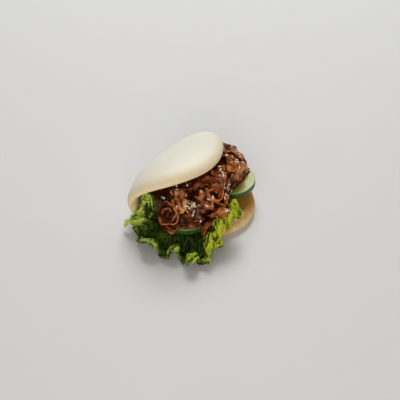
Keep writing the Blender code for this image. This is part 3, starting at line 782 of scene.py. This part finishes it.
def settle(points, loose):
    """Press a slice onto the heap, and between what it lies on and the roof over it.

    What stands over the heap's face keeps loose times its height. The number returned with each
    point says how far it stands out: about 1 on a slice's ridges and -1 deep between the slices.
    """
    out = (points - MOUND) / MOUND_SIZE
    reach = np.linalg.norm(out, axis=-1, keepdims=True)
    lifted = 1 + MOUND_LIFT * smooth((out[..., 1:2] + 0.6) / 0.6) * (out[..., 2:3] > 0)
    face = np.maximum(reach / lifted, 1e-6)
    pressed = np.where(face > 1, 1 + (face - 1) * loose, face)
    x, y, z = np.moveaxis(MOUND + out * MOUND_SIZE * pressed / face, -1, 0)
    x, y, z = heap_ends(x, y, z)
    low = np.where(past_lip(x, y) < 1.1, DOUGH + 0.5 * MM, SLICE / 2)
    low = np.maximum(low, read_map(GROUND, x, y) + 0.6 * MM)
    for _, slice_x, slice_y, underside, radius, thickness in CUCUMBERS:
        over = (np.hypot(x - slice_x, y - slice_y) < radius + 0.4 * MM) & (z.mean() > underside)
        low = np.where(over, np.maximum(low, underside + thickness + 0.2 * MM), low)
    z = np.minimum(np.maximum(z, low), read_map(CEILING, x, y) - 0.5 * MM)
    return np.stack([x, y, z], -1), np.clip((face[..., 0] - STANDING) / 0.06, -1, 1)


def paint_slice(at):
    """Fibres along each slice, streaks of fat and random dark patches; painted light turns it tan where it
    stands out, painted shade darkens the hollows.
    """
    along, across, tone = at.mark("along"), at.mark("across"), at.mark("tone")
    # How far a point stands out: where high, painted light turns it tan and pale; where low, painted shade
    # darkens it.
    crest = at.mark("crest") * 0.5 + at.mark("stand") * 0.5
    places = {"X": along * 0.12 + tone * 40, "Y": across * 0.75, "Z": tone * 20}
    fibre = at.node("ShaderNodeCombineXYZ", 0, places).noise(1.7, 5, 0.62, 0.6)
    cloud = at.noise(130, 4)
    meat = (fibre * 1.1 + cloud * 0.7 + tone * 0.5 + crest * 0.9 - 1.0).rise(0, 1)
    brown = meat.mix(BEEF_RED, BEEF_TAN)
    # Random dark patches, plus painted shade in the hollows.
    dark_and_shaded = (at.noise(95, 4, 0.6, 1) - crest * 0.65 - tone * 0.2).rise(0.26, 0.52)
    fat = (fibre * 0.8 + crest * 0.3 + tone * 0.3 + at.noise(230, 3) * 0.3).rise(0.98, 1.2)
    colour = (fat * 0.7).mix((dark_and_shaded * 0.9).mix(brown, BEEF_DEEP_AND_SHADE), BEEF_FAT)
    return {
        "Base_Color": colour,
        "Roughness": cloud * 0.3 + 0.12,
        "Normal": (fibre + at.noise(700, 3) * 0.2).bump(0.5, 0.6 * MM),
    }


glazed_beef = finish_of("glazed_beef", paint_slice, Coat_Weight=0.28, Coat_Roughness=0.05,
                        Specular_IOR_Level=0.12, Specular_Tint=(1, 0.7, 0.45, 1),
                        Subsurface_Weight=0.06, Subsurface_Scale=0.003)


def lay_slices(name, pieces):
    """Ribbons of one grid size, each on its place on the mound, as one mesh."""
    grids, marks = [], {"along": [], "across": [], "crest": [], "stand": [], "tone": []}
    for (points, along, across, crest), spot, axes, tone, loose in pieces:
        grid, stand = settle(spot + sum(points[..., i:i + 1] * axes[i] for i in range(3)), loose)
        grids.append(grid)
        for mark, values in zip(marks, (along, across, crest, stand, tone + 0 * crest)):
            marks[mark].append(values)
    points = np.array(grids)
    faces = ring_faces(points.shape[1], points.shape[2], len(points))
    marks = {mark: np.array(values) for mark, values in marks.items()}
    return new_piece(name, points, faces, glazed_beef, "beef_filling", "beef_filling", **marks)


def seen_spot(tree, across, down):
    """Where the line of sight meets or nears a surface, and the heap's outward direction there."""
    eye, ray = line_of_sight(across, down)
    spot = tree.ray_cast(eye, ray)[0]
    if spot is None:
        spot = tree.find_nearest(eye + ray * ray.dot(Vector(MOUND + FOLD) - eye))[0]
    spot = np.array(spot) - FOLD
    spot[2] += sink(spot[0], spot[2] + 6 * MM)
    return spot, unit((spot - MOUND) / MOUND_SIZE ** 2)


def seen_axes(normal, heading):
    """Three directions: on the surface, with this heading in the picture; across; and the normal."""
    _, right, up, back = camera_axes()
    aim = right * math.cos(math.radians(heading)) - up * math.sin(math.radians(heading))
    along = unit(aim - back * np.dot(aim, normal) / max(np.dot(back, normal), 0.3))
    across = unit(np.cross(normal, along))
    return along, across, np.cross(along, across)


def make_slices():
    """The large slices and the rolls, each where the picture shows it on the heap."""
    tree, toward, pieces = tree_of(heap, lettuce, *cucumbers), camera_axes()[3], []
    for number, (across, down, heading, length, width, curl, tone) in enumerate(SLICES):
        spot, normal = seen_spot(tree, across, down)
        path = crinkled_path(length * MM * SLACK, curl, SWING, number)
        cup = CRINKLE * (1 + math.sin(2.4 * number))
        shape = ribbon(*path, width * MM * BROADER, number, CRINKLE, *SLICE_GRID, cup=cup)
        pieces.append((shape, spot + normal * RAISED, seen_axes(normal, heading), tone, 1))
    for number, (across, down, turns, width, hole, tone) in enumerate(ROLLS):
        spot, normal = seen_spot(tree, across, down)
        path = rolled_path(turns, hole * MM)
        points, *marks = ribbon(*path, width * MM, number + 40, CRINKLE / 2, *SLICE_GRID)
        points = points[..., [0, 2, 1]]
        points[..., :2] *= 1 + FLARE * points[..., 2:] / (width * MM)
        axis = unit(normal + toward)
        pieces.append(((points, *marks), spot + axis * (width / 2 + 1) * MM, seen_axes(axis, 0), tone, 1))
    return lay_slices("beef_slices", pieces)


def make_shreds():
    """Seeded scraps where the large slices leave the heap bare, and narrow shreds between them all.

    The scraps that face the camera lie lower, under the large slices, and are painted darker there
    as shade. The inner ones lie on the heap's own surface at its right end, in the fold.
    """
    rng = np.random.default_rng(7)
    pieces, toward, tree = [], camera_axes()[3], tree_of(heap)
    for kind, count, bearings, heights, lengths, widths, loose in SMALL_CUTS:
        for _ in range(count):
            number, shred = len(pieces), kind == "shred"
            spot, normal = mound_frame(rng.uniform(*bearings), rng.uniform(*heights))
            if kind == "inner scrap":
                far = Vector(spot + FOLD + normal * 60 * MM)
                found, facing, _, _ = tree.ray_cast(far, Vector(-normal))
                spot, normal = (np.array(found) - FOLD, np.array(facing)) if found else (spot, normal)
            length, width = rng.uniform(*lengths) * MM, rng.uniform(*widths) * MM
            path = crinkled_path(length, rng.uniform(30, 120), rng.uniform(20, 40), number)
            side_bend = rng.uniform(-30, 30) * MM if shred else 0
            cup = rng.uniform(0, 1.6) * MM
            shape = ribbon(*path, width, number, CRINKLE, *SCRAP_GRID, side_bend, cup)
            under = 0 if shred else smooth(np.dot(normal, toward) / 0.4)
            raised = (rng.uniform(-0.5, 1.2) - 3 * under) * MM
            # Scraps under the large slices get a lower tone: painted shade.
            axes, tone = axes_on(normal, rng.uniform(0, 360)), rng.uniform(0, 0.8) - 0.9 * under
            pieces.append((shape, spot + normal * raised, axes, tone, loose))
    return lay_slices("beef_shreds", pieces)


slices = make_slices()
shreds = make_shreds()

# ---- Sesame seeds ----
# Toasted seeds sprinkled over the heap from above; they stick flat to the sauce, in loose
# groups. Each is a small flat teardrop.
SEED_LENGTH, SEED_WIDTH, SEED_HEIGHT = 3.3 * MM, 1.65 * MM, 0.9 * MM
SEED_GROUPS = (                 # pixel across and down, spread in pixels, seeds
    (191, 206, 6, 12), (188, 186, 1, 1), (177, 187, 2, 2), (162, 198, 4, 3), (201, 191, 1, 1),
    (176, 207, 1, 1), (211, 200, 5, 5), (201, 221, 1, 1), (226, 212, 1, 1), (225, 188, 6, 8),
    (220, 171, 6, 5), (236, 160, 6, 9), (240, 153, 3, 2),
)
SEED_CREAM = (0.95, 0.88, 0.74, 1)
SEED_TOASTED = (0.80, 0.60, 0.38, 1)
SEED_TRIES = 60                 # throws for a group, of which some miss or land too near another
SEED_APART = 2.3 * MM
SEED_SLOPE = -0.25              # they stick only where the beef faces the line of sight this much


def paint_seed(at):
    """Cream, more toasted in patches and on some seeds."""
    toast = (at.noise(500, 2) + at.mark("tone") * 0.5 - 0.2).rise(0.3, 0.9)
    return {"Base_Color": toast.mix(SEED_CREAM, SEED_TOASTED), "Roughness": at.noise(900, 2) * 0.2 + 0.3}


def seed_shape():
    """A teardrop: an ellipse of revolution, flattened, drawn out to a point at one end."""
    t = np.linspace(0, math.pi, 9)[:, None]
    turn = np.linspace(0, 2 * math.pi, 8, endpoint=False)[None]
    out = np.sin(t) * (1 - 0.35 * np.cos(t))
    x = np.cos(t) * SEED_LENGTH / 2 * np.ones_like(turn)
    return np.stack([x, out * np.cos(turn) * SEED_WIDTH / 2, out * np.sin(turn) * SEED_HEIGHT / 2], -1)


def make_seeds():
    """Seeds thrown along the line of sight at each group's place, laid flat where they land."""
    rng = np.random.default_rng(5)
    beef, above = tree_of(heap, slices, shreds), tree_of(bun, *cucumbers)
    shape, grids, tones, landed = seed_shape(), [], [], []
    for across, down, spread, count in SEED_GROUPS:
        made = 0
        for _ in range(SEED_TRIES):
            if made == count:
                break
            x, y = across + rng.normal(0, spread * 0.6), down + rng.normal(0, spread * 0.6)
            eye, ray = line_of_sight(x, y)
            spot, normal, _, distance = beef.ray_cast(eye, ray)
            heading = rng.uniform(0, 360)
            if spot is None or above.ray_cast(eye, ray, distance)[0]:
                continue
            if any((spot - other).length < SEED_APART for other in landed) or normal.dot(ray) > SEED_SLOPE:
                continue
            axes = axes_on(np.array(normal), heading)
            grids.append(np.array(spot) - FOLD + axes[2] * 0.2 * MM
                         + sum(shape[..., i:i + 1] * axes[i] for i in range(3)))
            tones.append(np.full(shape.shape[:2], rng.uniform(0, 1)))
            landed.append(spot)
            made += 1
    points = np.array(grids)
    faces = ring_faces(points.shape[1], points.shape[2], len(points))
    material = finish_of("sesame", paint_seed, Subsurface_Weight=0.2, Subsurface_Scale=0.001)
    return new_piece("sesame_seeds", points, faces, material, "beef_filling", tone=np.array(tones))


make_seeds()

# ---- Table, light and camera ----
# A plain pale table, one large soft light from behind and above, a weaker and warmer one from the
# front left, and a camera at the photograph's angle.
TABLE = (0.71, 0.725, 0.75, 1)
TABLE_HALF = 3                  # metres
LIGHTS = (                      # name, place, size, watts, colour
    ("window", (1.16, 0.86, 1.66), 1.1, 33.5, (1, 0.985, 0.96)),
    ("fill", (-1.2, -0.8, 0.6), 1.2, 12, (1, 0.9, 0.76)),
)
ROOM_LIGHT, ROOM_STRENGTH = (1, 0.98, 0.95, 1), 0.22
SENSOR = 36                     # millimetres


def paint_table(at):
    """Matt, with a faint change of gloss."""
    return {"Roughness": at.noise(20, 2) * 0.1 + 0.6}


def make_table():
    """A square on the ground plane, which isn't part of the food."""
    mesh = bpy.data.meshes.new("table")
    corners = [(x * TABLE_HALF, y * TABLE_HALF, 0) for x, y in ((-1, -1), (1, -1), (1, 1), (-1, 1))]
    mesh.from_pydata(corners, [], [(0, 1, 2, 3)])
    table = bpy.data.objects.new("table", mesh)
    mesh.materials.append(finish_of("pale_table", paint_table, Base_Color=TABLE))
    bpy.context.scene.collection.objects.link(table)


def add_light(name, place, size, power, colour):
    """A square light at a place, facing the food."""
    data = bpy.data.lights.new(name, "AREA")
    data.size, data.energy, data.color = size, power, colour
    lamp = bpy.data.objects.new(name, data)
    facing = Vector(place).to_track_quat("Z", "Y").to_matrix().to_4x4()
    lamp.matrix_world = Matrix.Translation(place) @ facing
    bpy.context.scene.collection.objects.link(lamp)


def make_camera():
    """The camera that camera_axes describes, with the frame's focal length."""
    eye, right, up, back = camera_axes()
    data = bpy.data.cameras.new("camera")
    data.sensor_width = SENSOR
    data.lens = FOCAL / PICTURE * SENSOR
    data.clip_start = 0.01
    camera = bpy.data.objects.new("camera", data)
    turned = Matrix((right, up, back)).transposed().to_4x4()
    camera.matrix_world = Matrix.Translation(eye) @ turned
    bpy.context.scene.collection.objects.link(camera)
    bpy.context.scene.camera = camera


make_table()
for light in LIGHTS:
    add_light(*light)
world = bpy.data.worlds.new("room")
world.use_nodes = True
background = world.node_tree.nodes["Background"]
background.inputs["Color"].default_value = ROOM_LIGHT
background.inputs["Strength"].default_value = ROOM_STRENGTH
bpy.context.scene.world = world
bpy.context.scene.view_settings.view_transform = "Standard"
make_camera()
